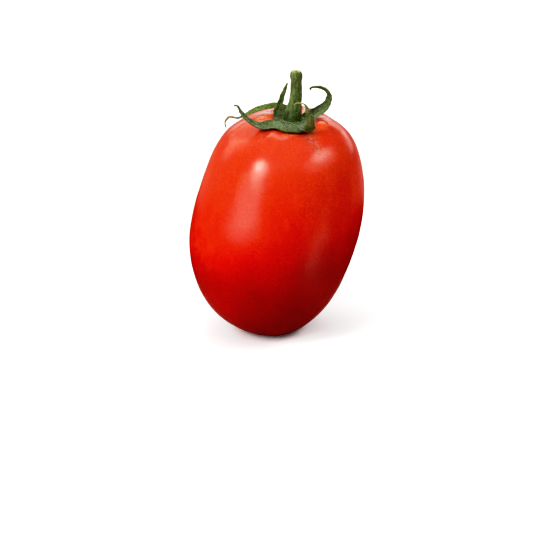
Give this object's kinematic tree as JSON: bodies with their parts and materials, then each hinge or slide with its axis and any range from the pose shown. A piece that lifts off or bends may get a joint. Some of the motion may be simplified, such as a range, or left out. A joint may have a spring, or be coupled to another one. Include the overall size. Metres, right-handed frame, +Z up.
{
  "type": "plum tomato with calyx and stalk",
  "caption": "Ripe plum tomato standing on its blossom end, a barrel-shaped fruit with curled green sepals and a short cut stalk on top.",
  "frame": {"origin": "middle of the flat spot at the blossom end, where the fruit rests", "axes": "+Z up, towards the stalk; -Y towards the viewer of the reference view, +X to that viewer's right"},
  "size_m": [0.0574, 0.056, 0.0886],
  "materials": {
    "skin": "ripe red skin, smooth and glossy",
    "sepal": "green leafy sepal with fine grey down",
    "stalk": "green stem, satin, with a pale cut end"
  },
  "bodies": {
    "root": {"fruit": "skin", "calyx": "sepal", "stalk": "stalk"}
  },
  "joints": []
}
